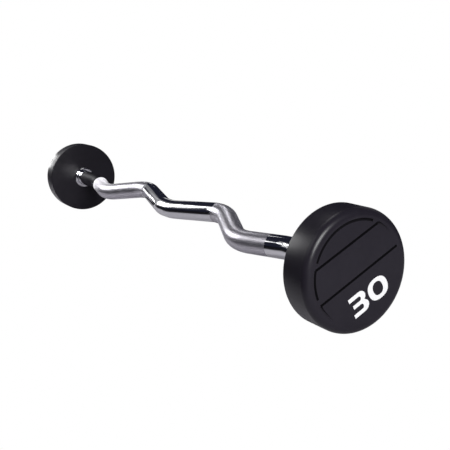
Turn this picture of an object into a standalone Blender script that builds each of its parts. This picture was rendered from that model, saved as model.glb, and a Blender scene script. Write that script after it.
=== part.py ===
"""Fixed-weight barbell with a cambered bar and two jacketed heads.

Everything is modelled in the barbell's own frame: X runs along the bar, the bar's bends lie in the
X-Y plane, and the middle of the bar is the origin. One empty then rolls the whole barbell about its
bar and lifts it until both heads stand on Z = 0. Lengths are in metres.
"""
import math

import bmesh
import bpy
from mathutils import Matrix, Vector

# Bar: its bends' corner points, from the middle outwards
BAR_DIAMETER = 0.030
BEND_RADIUS = 0.086               # of the centreline at every bend
MIDDLE_BEND_X = 0.0162
MIDDLE_OFFSET = -0.0033           # offsets are measured from the line through both heads
MIDDLE_TO_CREST = 0.1263
CREST_OFFSET = 0.0262
CREST_TO_DIP = 0.1049
DIP_OFFSET = -0.0183
DIP_TO_OUTER_BEND = 0.0957
HEAD_SPACING = 0.8708             # between the heads' inner faces

# Spigot turned on each end of the bar
SHOULDER_HEIGHT = 0.0025
SPIGOT_CHAMFER = 0.0010
SPIGOT_SETBACK = 0.0005           # the spigot ends this far below the washer's seat

# Head
HEAD_DIAMETER = 0.1415
HEAD_THICKNESS = 0.0408
FACE_ROUND = 0.0085               # fillet between the side wall and the outer face
BACK_ROUND = 0.0012               # small fillet at the inner face
JACKET_SIDE_WALL = 0.0035
JACKET_FACE_WALL = 0.0040
JACKET_BACK_WALL = 0.0025
CORE_BACK_ROUND = 0.0010

# Panel grooves moulded in the outer face
PANEL_BORDER = 0.0041             # flat border between the fillet and the curved grooves' middle
BAND_TOP = 0.0348                 # the band's two straight grooves, from the middle of the face
BAND_BOTTOM = -0.0036
BAND_TILT = math.radians(5.4)     # of the band against the plane of the bar's bends
GROOVE_WIDTH = 0.0026
GROOVE_BOTTOM_WIDTH = 0.0012
GROOVE_DEPTH = 0.0020
PANEL_GAP = math.radians(8.0)     # bridge left between the grooves of neighbouring panels
LOWER_ARC = math.radians(24.0)    # length of the lower panel's two curved grooves

# Collar on the bar, against each head
COLLAR_WALL = 0.0055
COLLAR_STAND_OFF = 0.0050         # how far it stands out of the head's inner face
COLLAR_ROUND = 0.0018

# Fixings hidden under the jacket
WASHER_SEAT = 0.0062              # width of the counterbore's floor round the bore
WASHER_PLAY = 0.0007              # between the washer's rim and the counterbore
WASHER_THICKNESS = 0.0030
BOLT_DIAMETER = 0.012
BOLT_LENGTH = 0.0240              # under its head
BOLT_HEAD_OVERHANG = 0.0030
BOLT_HEAD_HEIGHT = 0.0070
BOLT_SOCKET_WIDTH = 0.0080        # across its corners
BOLT_SOCKET_DEPTH = 0.0035
HOLE_RUNOUT = 0.0040              # of the tapped hole past the bolt's tip
PLUG_THICKNESS = 0.0030
KEY_PIN_DIAMETER = 0.0060
KEY_PIN_INSET = 0.0046            # from the bar's shoulder to the pin
EDGE_CHAMFER = 0.0005

# Fits and the barbell's stance
FIT_GAP = 0.0003                  # clearance between touching pieces
STANCE_ROLL = math.radians(22.5)  # of the bends' plane above the floor's

# Fineness of the round forms
HEAD_SIDES = 64
RING_SIDES = 48
BAR_SIDES = 32
FIXING_SIDES = 24
PIN_SIDES = 16
SOCKET_SIDES = 6
BEND_STEP = math.radians(5.0)
FILLET_STEPS = 5
SMALL_FILLET_STEPS = 2
CUTTER_MARGIN = 0.002
SMOOTH_ANGLE = math.radians(35)

BAR_RADIUS = BAR_DIAMETER / 2
SPIGOT_RADIUS = BAR_RADIUS - SHOULDER_HEIGHT
COLLAR_RADIUS = BAR_RADIUS + COLLAR_WALL
HEAD_RADIUS = HEAD_DIAMETER / 2
PANEL_RADIUS = HEAD_RADIUS - FACE_ROUND - PANEL_BORDER
CORE_FRONT_ROUND = max(FACE_ROUND - JACKET_SIDE_WALL, CORE_BACK_ROUND)
CORE_BORE_RADIUS = SPIGOT_RADIUS + FIT_GAP
COUNTERBORE_RADIUS = CORE_BORE_RADIUS + WASHER_SEAT
BOLT_RADIUS = BOLT_DIAMETER / 2
BOLT_HOLE_RADIUS = BOLT_RADIUS + FIT_GAP
BOLT_HEAD_RADIUS = BOLT_RADIUS + BOLT_HEAD_OVERHANG
KEY_PIN_RADIUS = KEY_PIN_DIAMETER / 2

# Stations along the bar, from its middle
CREST_X = MIDDLE_BEND_X + MIDDLE_TO_CREST
DIP_X = CREST_X + CREST_TO_DIP
OUTER_BEND_X = DIP_X + DIP_TO_OUTER_BEND
HEAD_X = HEAD_SPACING / 2

# Stations through a head, from its inner face outwards
CAVITY_BACK = JACKET_BACK_WALL
CAVITY_FRONT = HEAD_THICKNESS - JACKET_FACE_WALL
CAVITY_RADIUS = HEAD_RADIUS - JACKET_SIDE_WALL
CORE_BACK = CAVITY_BACK + FIT_GAP
CORE_FRONT = CAVITY_FRONT - FIT_GAP
CORE_RADIUS = CAVITY_RADIUS - FIT_GAP
SHOULDER = CORE_BACK - FIT_GAP
PLUG_BACK = CORE_FRONT - PLUG_THICKNESS
BOLT_HEAD_FRONT = PLUG_BACK - FIT_GAP
BOLT_HEAD_BACK = BOLT_HEAD_FRONT - BOLT_HEAD_HEIGHT
BOLT_TIP = BOLT_HEAD_BACK - BOLT_LENGTH
WASHER_FRONT = BOLT_HEAD_BACK - FIT_GAP
WASHER_BACK = WASHER_FRONT - WASHER_THICKNESS
COUNTERBORE_FLOOR = WASHER_BACK - FIT_GAP
SPIGOT_END = COUNTERBORE_FLOOR - SPIGOT_SETBACK
KEY_PIN_BACK = SHOULDER + KEY_PIN_INSET

MATERIALS = {
    # name: base colour, metallic, roughness
    "chrome": ((0.78, 0.78, 0.80, 1.0), 1.0, 0.12),
    "urethane": ((0.030, 0.028, 0.034, 1.0), 0.0, 0.45),
    "steel": ((0.42, 0.42, 0.43, 1.0), 1.0, 0.45),
    "zinc": ((0.62, 0.63, 0.65, 1.0), 1.0, 0.35),
}


def clear_scene():
    for old in list(bpy.data.objects):
        bpy.data.objects.remove(old, do_unlink=True)


def material(name):
    made = bpy.data.materials.get(name)
    if made:
        return made
    colour, metallic, roughness = MATERIALS[name]
    made = bpy.data.materials.new(name)
    made.use_nodes = True
    made.diffuse_color = colour
    shader = made.node_tree.nodes["Principled BSDF"]
    shader.inputs["Base Color"].default_value = colour
    shader.inputs["Metallic"].default_value = metallic
    shader.inputs["Roughness"].default_value = roughness
    return made


def new_object(name, bm):
    """Turn a bmesh into a named object: faces outwards, round surfaces smooth, end faces flat."""
    bmesh.ops.remove_doubles(bm, verts=bm.verts[:], dist=1e-6)
    bmesh.ops.recalc_face_normals(bm, faces=bm.faces[:])
    mesh = bpy.data.meshes.new(name)
    bm.to_mesh(mesh)
    bm.free()
    mesh.shade_smooth()
    mesh.set_sharp_from_angle(angle=SMOOTH_ANGLE)
    for face in mesh.polygons:
        face.use_smooth = not math.isclose(abs(face.normal.x), 1, abs_tol=1e-3)
    made = bpy.data.objects.new(name, mesh)
    bpy.context.scene.collection.objects.link(made)
    return made


def placed(made, parent, side):
    """Stand a head's piece at its end of the bar; the left head is the right one turned round."""
    if side == "left":
        made.rotation_euler = (0, 0, math.pi)
    made.location = (HEAD_X if side == "right" else -HEAD_X, 0, 0)
    made.parent = parent
    return made


def new_piece(name, bm, material_name, parent, side):
    made = new_object(name + "_" + side, bm)
    made.data.materials.append(material(material_name))
    return placed(made, parent, side)


def new_cutter(name, bm, parent, side):
    made = new_object(name + "_" + side, bm)
    made.hide_render = True
    made.display_type = "WIRE"
    return placed(made, parent, side)


def cut(target, tool):
    modifier = target.modifiers.new("cut " + tool.name, "BOOLEAN")
    modifier.operation = "DIFFERENCE"
    modifier.solver = "EXACT"
    modifier.object = tool


def quarter_arc(centre_x, centre_r, radius, start_angle, steps):
    """Profile points (x, r) over a quarter turn; angles run from +X towards +r."""
    points = []
    for step in range(steps + 1):
        angle = start_angle + math.pi / 2 * step / steps
        points.append((centre_x + radius * math.cos(angle), centre_r + radius * math.sin(angle)))
    return points


def disc_profile(back, front, radius, back_round, front_round, front_steps):
    """Outline of a disc from its front face's rim, over the side wall, to its back face's rim."""
    over_front = quarter_arc(front - front_round, radius - front_round, front_round, 0, front_steps)
    over_back = quarter_arc(back + back_round, radius - back_round, back_round,
                            math.pi / 2, SMALL_FILLET_STEPS)
    return over_front + over_back


def chamfered_profile(back, front, radius):
    """Outline of a plain cylinder with a small chamfer at both ends, front to back."""
    return [
        (front, radius - EDGE_CHAMFER),
        (front - EDGE_CHAMFER, radius),
        (back + EDGE_CHAMFER, radius),
        (back, radius - EDGE_CHAMFER),
    ]


def first_corner(sides, side):
    """Angle of a polygon's first corner that leaves one flat side level underneath."""
    roll = STANCE_ROLL if side == "right" else -STANCE_ROLL
    return -math.pi / 2 - roll + math.pi / sides


def turned(profile, sides, side, closed=False):
    """Turn a profile of (x, r) points about the X axis.

    A closed profile makes a ring. An open one gets a flat cap across each of its two end circles.
    """
    bm = bmesh.new()
    corner = first_corner(sides, side)
    across = Vector((0, math.cos(corner), math.sin(corner)))
    verts = [bm.verts.new(Vector((x, 0, 0)) + across * r) for x, r in profile]
    edges = [bm.edges.new(pair) for pair in zip(verts, verts[1:])]
    if closed:
        edges.append(bm.edges.new((verts[-1], verts[0])))
    bmesh.ops.spin(bm, geom=verts + edges, cent=(0, 0, 0), axis=(1, 0, 0),
                   angle=2 * math.pi, steps=sides, use_merge=True)
    if not closed:
        rims = [edge for edge in bm.edges if edge.is_boundary]
        bmesh.ops.edgeloop_fill(bm, edges=rims)
    return bm


def only(kind, geometry):
    return [item for item in geometry if isinstance(item, kind)]


# Bar

def bar_corners():
    right = [
        (OUTER_BEND_X, 0),
        (DIP_X, DIP_OFFSET),
        (CREST_X, CREST_OFFSET),
        (MIDDLE_BEND_X, MIDDLE_OFFSET),
    ]
    left = [(-x, offset) for x, offset in reversed(right)]
    end = HEAD_X + SHOULDER
    return [Vector((x, y, 0)) for x, y in [(end, 0)] + right + left + [(-end, 0)]]


def straight_on(bm, ring, travel):
    """Carry the bar's open ring of edges straight on by a vector."""
    made = bmesh.ops.extrude_edge_only(bm, edges=ring)["geom"]
    bmesh.ops.translate(bm, vec=travel, verts=only(bmesh.types.BMVert, made))
    return only(bmesh.types.BMEdge, made)


def round_bend(bm, ring, centre, angle):
    """Carry the bar's open ring of edges round a bend."""
    steps = max(2, math.ceil(abs(angle) / BEND_STEP))
    verts = list({vert for edge in ring for vert in edge.verts})
    made = bmesh.ops.spin(bm, geom=verts + ring, cent=centre, axis=(0, 0, 1),
                          angle=angle, steps=steps, use_merge=False)
    return only(bmesh.types.BMEdge, made["geom_last"])


def stepped(bm, ring, radius_ratio, travel):
    """Extrude the ring, scale it about the X axis and carry it on: a shoulder or a chamfer."""
    made = bmesh.ops.extrude_edge_only(bm, edges=ring)["geom"]
    verts = only(bmesh.types.BMVert, made)
    bmesh.ops.scale(bm, vec=(1, radius_ratio, radius_ratio), verts=verts)
    bmesh.ops.translate(bm, vec=travel, verts=verts)
    return only(bmesh.types.BMEdge, made)


def add_spigot(bm, ring, outwards):
    """Turn the shoulder, the spigot and its chamfer on one end of the bar, then cap it."""
    length = SPIGOT_END - SHOULDER
    chamfer_ratio = (SPIGOT_RADIUS - SPIGOT_CHAMFER) / SPIGOT_RADIUS
    ring = stepped(bm, ring, SPIGOT_RADIUS / BAR_RADIUS, Vector((0, 0, 0)))
    ring = straight_on(bm, ring, outwards * (length - SPIGOT_CHAMFER))
    ring = stepped(bm, ring, chamfer_ratio, outwards * SPIGOT_CHAMFER)
    bmesh.ops.edgeloop_fill(bm, edges=ring)


def bent_bar():
    """Bend the bar from its right shoulder to its left one, then turn both ends."""
    bm = bmesh.new()
    corners = bar_corners()
    facing_x = Matrix.Translation(corners[0]) @ Matrix.Rotation(math.pi / 2, 4, "Y")
    bmesh.ops.create_circle(bm, cap_ends=False, segments=BAR_SIDES, radius=BAR_RADIUS, matrix=facing_x)
    right_ring = bm.edges[:]
    ring = right_ring
    reached = corners[0]
    for before, corner, after in zip(corners, corners[1:], corners[2:]):
        arriving = (corner - before).normalized()
        leaving = (after - corner).normalized()
        turn = arriving.angle(leaving)
        sense = math.copysign(1, arriving.cross(leaving).z)
        tangent = BEND_RADIUS * math.tan(turn / 2)
        bend_start = corner - arriving * tangent
        inwards = Vector((-arriving.y, arriving.x, 0)) * sense
        ring = straight_on(bm, ring, bend_start - reached)
        ring = round_bend(bm, ring, bend_start + inwards * BEND_RADIUS, turn * sense)
        reached = corner + leaving * tangent
    left_ring = straight_on(bm, ring, corners[-1] - reached)
    add_spigot(bm, right_ring, Vector((1, 0, 0)))
    add_spigot(bm, left_ring, Vector((-1, 0, 0)))
    return bm


def make_bar(parent, key_slots):
    bar = new_object("bar", bent_bar())
    bar.data.materials.append(material("chrome"))
    bar.parent = parent
    hole = [(SPIGOT_END + CUTTER_MARGIN, BOLT_HOLE_RADIUS), (BOLT_TIP - HOLE_RUNOUT, BOLT_HOLE_RADIUS)]
    for side, key_slot in key_slots.items():
        cut(bar, new_cutter("bolt_hole", turned(hole, FIXING_SIDES, side), parent, side))
        cut(bar, key_slot)


# Head

def make_key_slot(parent, side):
    """Cutter of the round slot for the key pin, half in the spigot and half in the core."""
    radius = KEY_PIN_RADIUS + FIT_GAP
    profile = [(COUNTERBORE_FLOOR + CUTTER_MARGIN, radius), (KEY_PIN_BACK - FIT_GAP, radius)]
    bm = turned(profile, PIN_SIDES, side)
    bmesh.ops.translate(bm, vec=(0, 0, SPIGOT_RADIUS), verts=bm.verts[:])
    return new_cutter("key_slot", bm, parent, side)


def make_key_pin(parent, side):
    bm = turned(chamfered_profile(KEY_PIN_BACK, SPIGOT_END, KEY_PIN_RADIUS), PIN_SIDES, side)
    bmesh.ops.translate(bm, vec=(0, 0, SPIGOT_RADIUS), verts=bm.verts[:])
    new_piece("key_pin", bm, "steel", parent, side)


def make_core(parent, side, key_slot):
    """Weight disc with a bore for the spigot and a counterbore for the fixings."""
    outside = disc_profile(CORE_BACK, CORE_FRONT, CORE_RADIUS,
                           CORE_BACK_ROUND, CORE_FRONT_ROUND, SMALL_FILLET_STEPS)
    inside = [
        (CORE_BACK, CORE_BORE_RADIUS),
        (COUNTERBORE_FLOOR, CORE_BORE_RADIUS),
        (COUNTERBORE_FLOOR, COUNTERBORE_RADIUS),
        (CORE_FRONT, COUNTERBORE_RADIUS),
    ]
    bm = turned(outside + inside, RING_SIDES, side, closed=True)
    cut(new_piece("core", bm, "steel", parent, side), key_slot)


def make_jacket(parent, side):
    """Urethane jacket: closed round the core, open only round the collar."""
    opening = COLLAR_RADIUS + FIT_GAP
    outside = disc_profile(0, HEAD_THICKNESS, HEAD_RADIUS, BACK_ROUND, FACE_ROUND, FILLET_STEPS)
    cavity = disc_profile(CAVITY_BACK, CAVITY_FRONT, CAVITY_RADIUS,
                          CORE_BACK_ROUND + FIT_GAP, CORE_FRONT_ROUND + FIT_GAP, SMALL_FILLET_STEPS)
    profile = outside + [(0, opening), (CAVITY_BACK, opening)] + cavity[::-1]
    jacket = new_piece("jacket", turned(profile, HEAD_SIDES, side), "urethane", parent, side)
    for name, bm in panel_grooves().items():
        bmesh.ops.rotate(bm, cent=(0, 0, 0), matrix=Matrix.Rotation(BAND_TILT, 3, "X"), verts=bm.verts[:])
        cut(jacket, new_cutter("groove_" + name, bm, parent, side))


def groove_section():
    """Tapered groove section as (x, across) points: open above the outer face, narrow at its floor."""
    slope = (GROOVE_WIDTH - GROOVE_BOTTOM_WIDTH) / 2 / GROOVE_DEPTH
    roof_half = GROOVE_WIDTH / 2 + slope * CUTTER_MARGIN
    floor_half = GROOVE_BOTTOM_WIDTH / 2
    roof = HEAD_THICKNESS + CUTTER_MARGIN
    floor = HEAD_THICKNESS - GROOVE_DEPTH
    return [(roof, -roof_half), (roof, roof_half), (floor, floor_half), (floor, -floor_half)]


def curved_groove(start, end):
    """Cutter along an arc of the panels' circle, its ends square to the arc."""
    bm = bmesh.new()
    outwards = Vector((0, math.cos(start), math.sin(start)))
    points = [Vector((x, 0, 0)) + outwards * (PANEL_RADIUS + across) for x, across in groove_section()]
    section = bm.faces.new([bm.verts.new(point) for point in points])
    steps = max(2, round((end - start) * HEAD_SIDES / (2 * math.pi)))
    bmesh.ops.spin(bm, geom=[section], cent=(0, 0, 0), axis=(1, 0, 0),
                   angle=end - start, steps=steps, use_merge=False)
    return bm


def straight_groove(height):
    """Cutter across the face at a height above its middle, between the panels' circle."""
    half_length = math.sqrt(PANEL_RADIUS ** 2 - height ** 2)
    bm = bmesh.new()
    points = [Vector((x, -half_length, height + across)) for x, across in groove_section()]
    section = bm.faces.new([bm.verts.new(point) for point in points])
    made = bmesh.ops.extrude_face_region(bm, geom=[section])["geom"]
    bmesh.ops.translate(bm, vec=(0, 2 * half_length, 0), verts=only(bmesh.types.BMVert, made))
    return bm


def panel_grooves():
    """Cutters of the cap, band and lower panels; the straight grooves run between curved ones."""
    top = math.asin(BAND_TOP / PANEL_RADIUS)
    bottom = math.asin(BAND_BOTTOM / PANEL_RADIUS)
    half_turn = math.pi
    return {
        "cap": curved_groove(top + PANEL_GAP, half_turn - top - PANEL_GAP),
        "band_end_a": curved_groove(bottom + PANEL_GAP, top),
        "band_end_b": curved_groove(half_turn - top, half_turn - bottom - PANEL_GAP),
        "lower_end_a": curved_groove(bottom - LOWER_ARC, bottom),
        "lower_end_b": curved_groove(half_turn - bottom, half_turn - bottom + LOWER_ARC),
        "band_top": straight_groove(BAND_TOP),
        "band_bottom": straight_groove(BAND_BOTTOM),
    }


def make_collar(parent, side):
    """Chromed ring on the bar, seated against the core through the jacket's opening."""
    bore = BAR_RADIUS + FIT_GAP
    back = -COLLAR_STAND_OFF
    profile = [(SHOULDER, bore), (SHOULDER, COLLAR_RADIUS)]
    profile += quarter_arc(back + COLLAR_ROUND, COLLAR_RADIUS - COLLAR_ROUND, COLLAR_ROUND,
                           math.pi / 2, SMALL_FILLET_STEPS)
    profile += [(back, bore + EDGE_CHAMFER), (back + EDGE_CHAMFER, bore)]
    new_piece("collar", turned(profile, RING_SIDES, side, closed=True), "chrome", parent, side)


# Fixings under the jacket

def make_washer(parent, side):
    outside = chamfered_profile(WASHER_BACK, WASHER_FRONT, COUNTERBORE_RADIUS - WASHER_PLAY)
    profile = outside + [(WASHER_BACK, BOLT_HOLE_RADIUS), (WASHER_FRONT, BOLT_HOLE_RADIUS)]
    new_piece("washer", turned(profile, FIXING_SIDES, side, closed=True), "zinc", parent, side)


def make_bolt(parent, side):
    """Low-head socket screw; its shank runs through the washer into the bar's tapped end."""
    profile = [
        (BOLT_HEAD_FRONT, BOLT_HEAD_RADIUS - EDGE_CHAMFER),
        (BOLT_HEAD_FRONT - EDGE_CHAMFER, BOLT_HEAD_RADIUS),
        (BOLT_HEAD_BACK, BOLT_HEAD_RADIUS),
        (BOLT_HEAD_BACK, BOLT_RADIUS),
        (BOLT_TIP + EDGE_CHAMFER, BOLT_RADIUS),
        (BOLT_TIP, BOLT_RADIUS - EDGE_CHAMFER),
    ]
    bolt = new_piece("bolt", turned(profile, FIXING_SIDES, side), "zinc", parent, side)
    socket_floor = BOLT_HEAD_FRONT - BOLT_SOCKET_DEPTH
    half_width = BOLT_SOCKET_WIDTH / 2
    socket = [(BOLT_HEAD_FRONT + CUTTER_MARGIN, half_width), (socket_floor, half_width)]
    cut(bolt, new_cutter("socket", turned(socket, SOCKET_SIDES, side), parent, side))


def make_core_plug(parent, side):
    """Disc that closes the counterbore, flush with the core's outer face."""
    profile = chamfered_profile(PLUG_BACK, CORE_FRONT, COUNTERBORE_RADIUS - FIT_GAP)
    new_piece("core_plug", turned(profile, RING_SIDES, side), "steel", parent, side)


def make_barbell():
    barbell = bpy.data.objects.new("barbell", None)
    bpy.context.scene.collection.objects.link(barbell)
    barbell.rotation_euler = (STANCE_ROLL, 0, 0)
    barbell.location = (0, 0, HEAD_RADIUS * math.cos(math.pi / HEAD_SIDES))
    key_slots = {side: make_key_slot(barbell, side) for side in ("right", "left")}
    make_bar(barbell, key_slots)
    for side, key_slot in key_slots.items():
        make_core(barbell, side, key_slot)
        make_jacket(barbell, side)
        make_collar(barbell, side)
        make_key_pin(barbell, side)
        make_washer(barbell, side)
        make_bolt(barbell, side)
        make_core_plug(barbell, side)


clear_scene()
make_barbell()
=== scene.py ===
# %% [markdown]
# # A fixed curl barbell, dressed for its photograph
#
# The barbell has one chromed bar, bent in a wave and knurled where the hands go, and a thick
# black urethane head at each end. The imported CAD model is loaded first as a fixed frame. Its
# solids are right in size but faceted, so the pieces that show are modelled again here, finer,
# in the same places. All lengths are in metres.

# %% Load the frame
import math

import bmesh
import bpy
from mathutils import Matrix, Vector


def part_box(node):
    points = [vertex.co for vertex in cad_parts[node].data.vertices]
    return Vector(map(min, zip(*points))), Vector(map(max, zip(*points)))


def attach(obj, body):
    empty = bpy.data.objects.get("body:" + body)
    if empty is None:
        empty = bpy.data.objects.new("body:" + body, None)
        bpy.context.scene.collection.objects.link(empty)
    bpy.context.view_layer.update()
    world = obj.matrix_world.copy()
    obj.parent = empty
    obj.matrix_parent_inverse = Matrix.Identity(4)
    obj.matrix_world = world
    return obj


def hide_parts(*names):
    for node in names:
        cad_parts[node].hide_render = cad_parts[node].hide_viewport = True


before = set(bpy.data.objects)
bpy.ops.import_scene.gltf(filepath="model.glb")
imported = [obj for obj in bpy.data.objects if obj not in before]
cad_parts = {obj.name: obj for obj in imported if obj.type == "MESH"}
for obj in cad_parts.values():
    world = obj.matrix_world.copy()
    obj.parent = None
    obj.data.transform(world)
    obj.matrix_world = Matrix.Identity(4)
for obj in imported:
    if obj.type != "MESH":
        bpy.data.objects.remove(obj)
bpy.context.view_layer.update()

# %% [markdown]
# ## The camera
#
# A product photograph is usually taken with a longer lens from a few steps away, so that the
# near head isn't blown up. The camera is set by its place and two angles: how far it has gone
# round the barbell, and how far it looks down. The lens gives the zoom.

# %% Camera at the photograph's angle
CAMERA_PLACE = (1.04671, -0.48889, 0.26964)
CAMERA_ROUND = math.radians(60.43)
CAMERA_DOWN = math.radians(11.266)
CAMERA_LENS = 56.694              # mm, for a sensor 36 mm wide

camera_data = bpy.data.cameras.new("camera")
camera_data.lens = CAMERA_LENS
camera_data.sensor_width = 36.0
camera_data.clip_start = 0.01
camera = bpy.data.objects.new("camera", camera_data)
camera.location = CAMERA_PLACE
camera.rotation_euler = (math.pi / 2 - CAMERA_DOWN, 0, CAMERA_ROUND)
bpy.context.scene.collection.objects.link(camera)
bpy.context.scene.camera = camera
print("camera at", CAMERA_PLACE)

# %% [markdown]
# ## Shared surface effects
#
# No real surface is perfectly even. Plating carries faint wipe marks, urethane has a fine mould
# grain, and turned steel shows the path of the tool. Each such effect is a small node group that
# is built once and then placed in every material that needs it, with that material's own values.
# A group works best when it only puts out numbers and colours; the shader stays in the material.

# %% Helpers for node trees
def node(tree, kind, label="", **settings):
    made = tree.nodes.new(kind)
    made.label = label
    for name, value in settings.items():
        setattr(made, name, value)
    return made


def join(tree, source, target):
    tree.links.new(source, target)


def new_group(name, inputs, outputs):
    """A node group with float inputs {name: default}, a Vector input and float outputs."""
    tree = bpy.data.node_groups.new(name, "ShaderNodeTree")
    tree.interface.new_socket("Vector", in_out="INPUT", socket_type="NodeSocketVector")
    for key, value in inputs.items():
        socket = tree.interface.new_socket(key, in_out="INPUT", socket_type="NodeSocketFloat")
        socket.default_value = value
    for key in outputs:
        tree.interface.new_socket(key, in_out="OUTPUT", socket_type="NodeSocketFloat")
    return tree, node(tree, "NodeGroupInput"), node(tree, "NodeGroupOutput")


def place_group(tree, group, coordinates, **values):
    placed = node(tree, "ShaderNodeGroup", node_tree=group)
    join(tree, coordinates, placed.inputs["Vector"])
    for key, value in values.items():
        placed.inputs[key].default_value = value
    return placed

print("node helpers ready")

# %% [markdown]
# The first effect is mottling: two sizes of soft noise, added, then stretched to the range that
# the material wants. It mostly drives roughness, where the eye reads it as handling marks.

# %% Group: mottling
mottle, mottle_in, mottle_out = new_group(
    "mottling", {"Scale": 20.0, "Low": 0.0, "High": 1.0}, ["Value"])
broad = node(mottle, "ShaderNodeTexNoise", "broad patches")
broad.inputs["Detail"].default_value = 3.0
fine = node(mottle, "ShaderNodeTexNoise", "fine patches")
fine.inputs["Detail"].default_value = 4.0
finer = node(mottle, "ShaderNodeMath", "finer scale", operation="MULTIPLY")
finer.inputs[1].default_value = 6.0
blend = node(mottle, "ShaderNodeMix", "both sizes")
blend.inputs["Factor"].default_value = 0.35
span = node(mottle, "ShaderNodeMapRange", "to the wanted range")
span.inputs["From Min"].default_value = 0.30
span.inputs["From Max"].default_value = 0.70
join(mottle, mottle_in.outputs["Vector"], broad.inputs["Vector"])
join(mottle, mottle_in.outputs["Vector"], fine.inputs["Vector"])
join(mottle, mottle_in.outputs["Scale"], broad.inputs["Scale"])
join(mottle, mottle_in.outputs["Scale"], finer.inputs[0])
join(mottle, finer.outputs["Value"], fine.inputs["Scale"])
join(mottle, broad.outputs["Fac"], blend.inputs["A"])
join(mottle, fine.outputs["Fac"], blend.inputs["B"])
join(mottle, blend.outputs["Result"], span.inputs["Value"])
join(mottle, mottle_in.outputs["Low"], span.inputs["To Min"])
join(mottle, mottle_in.outputs["High"], span.inputs["To Max"])
join(mottle, span.outputs["Result"], mottle_out.inputs["Value"])
print("mottling:", len(mottle.nodes), "nodes")

# %% [markdown]
# The second effect is a grain height: the tiny orange-peel of a moulded or plated skin. It goes
# to a Bump node, which tilts the light by a fraction of a degree and breaks up a dead-even shine.

# %% Group: grain
grain, grain_in, grain_out = new_group("grain", {"Scale": 900.0}, ["Height"])
speck = node(grain, "ShaderNodeTexNoise", "grain")
speck.inputs["Detail"].default_value = 2.0
speck.inputs["Roughness"].default_value = 0.6
join(grain, grain_in.outputs["Vector"], speck.inputs["Vector"])
join(grain, grain_in.outputs["Scale"], speck.inputs["Scale"])
join(grain, speck.outputs["Fac"], grain_out.inputs["Height"])
print("grain:", len(grain.nodes), "nodes")

# %% [markdown]
# The third effect is hairline scratches. Noise squeezed hard along one axis turns into streaks,
# and a narrow band of it, cut out with a Map Range, leaves a few thin lines. The Mapping node
# does the squeezing, so each material chooses the direction that its real scratches have.

# %% Group: hairlines
hairline, hairline_in, hairline_out = new_group(
    "hairlines", {"Scale": 60.0, "Amount": 0.5}, ["Mask"])
streak = node(hairline, "ShaderNodeTexNoise", "streaks")
streak.inputs["Detail"].default_value = 5.0
streak.inputs["Roughness"].default_value = 0.7
narrow = node(hairline, "ShaderNodeMapRange", "only the peaks")
narrow.inputs["From Min"].default_value = 0.60
narrow.inputs["From Max"].default_value = 0.72
weaken = node(hairline, "ShaderNodeMath", "amount", operation="MULTIPLY")
join(hairline, hairline_in.outputs["Vector"], streak.inputs["Vector"])
join(hairline, hairline_in.outputs["Scale"], streak.inputs["Scale"])
join(hairline, streak.outputs["Fac"], narrow.inputs["Value"])
join(hairline, narrow.outputs["Result"], weaken.inputs[0])
join(hairline, hairline_in.outputs["Amount"], weaken.inputs[1])
join(hairline, weaken.outputs["Value"], hairline_out.inputs["Mask"])
print("hairlines:", len(hairline.nodes), "nodes")

# %% [markdown]
# ## Finishes
#
# Every material starts from a Principled shader and Object coordinates. The pieces here sit at
# the origin with their place in their mesh, so Object coordinates are the barbell's own metres
# and a pattern has the same real size on every piece.

# %% Material helpers
def new_material(name, **values):
    """A Principled material, its shader's own sockets set to the values given."""
    made = bpy.data.materials.new(name)
    made.use_nodes = True
    tree = made.node_tree
    shader = tree.nodes["Principled BSDF"]
    for key, value in values.items():
        shader.inputs[key.replace("_", " ")].default_value = value
    coordinates = node(tree, "ShaderNodeTexCoord").outputs["Object"]
    return made, tree, shader, coordinates


def squeezed(tree, coordinates, scale):
    mapping = node(tree, "ShaderNodeMapping", "squeeze")
    mapping.inputs["Scale"].default_value = scale
    join(tree, coordinates, mapping.inputs["Vector"])
    return mapping.outputs["Vector"]


def tinted(tree, factor, low, high):
    """A colour that runs from low to high as the factor goes from 0 to 1."""
    mix = node(tree, "ShaderNodeMix", "tint", data_type="RGBA")
    mix.inputs["A"].default_value = (*low, 1.0)
    mix.inputs["B"].default_value = (*high, 1.0)
    join(tree, factor, mix.inputs["Factor"])
    return mix.outputs["Result"]


def add_bump(tree, shader, height, strength, distance):
    bump = node(tree, "ShaderNodeBump")
    bump.inputs["Strength"].default_value = strength
    bump.inputs["Distance"].default_value = distance
    join(tree, height, bump.inputs["Height"])
    join(tree, bump.outputs["Normal"], shader.inputs["Normal"])

print("material helpers ready")

# %% [markdown]
# Bright chrome is a mirror with a faintly cool tone. A perfect mirror looks like a computer's
# idea of chrome, so its roughness wanders between very low values, with a few wipe marks that
# run round the bar and an orange-peel far too small to see by itself.

# %% Bright chrome
bright_chrome, tree, shader, coordinates = new_material("bright_chrome", Metallic=1.0)
patches = place_group(tree, mottle, coordinates, Scale=28.0, Low=0.0, High=1.0)
plating = tinted(tree, patches.outputs["Value"], (0.74, 0.74, 0.77), (0.82, 0.82, 0.84))
join(tree, plating, shader.inputs["Base Color"])
round_the_bar = squeezed(tree, coordinates, (40.0, 1.0, 1.0))
marks = place_group(tree, hairline, round_the_bar, Scale=14.0, Amount=0.06)
shine = place_group(tree, mottle, coordinates, Scale=45.0, Low=0.06, High=0.105)
total = node(tree, "ShaderNodeMath", "wipe marks", operation="ADD")
join(tree, shine.outputs["Value"], total.inputs[0])
join(tree, marks.outputs["Mask"], total.inputs[1])
join(tree, total.outputs["Value"], shader.inputs["Roughness"])
peel = place_group(tree, grain, coordinates, Scale=240.0)
add_bump(tree, shader, peel.outputs["Height"], 0.04, 0.0002)
print("made", bright_chrome.name)

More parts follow.
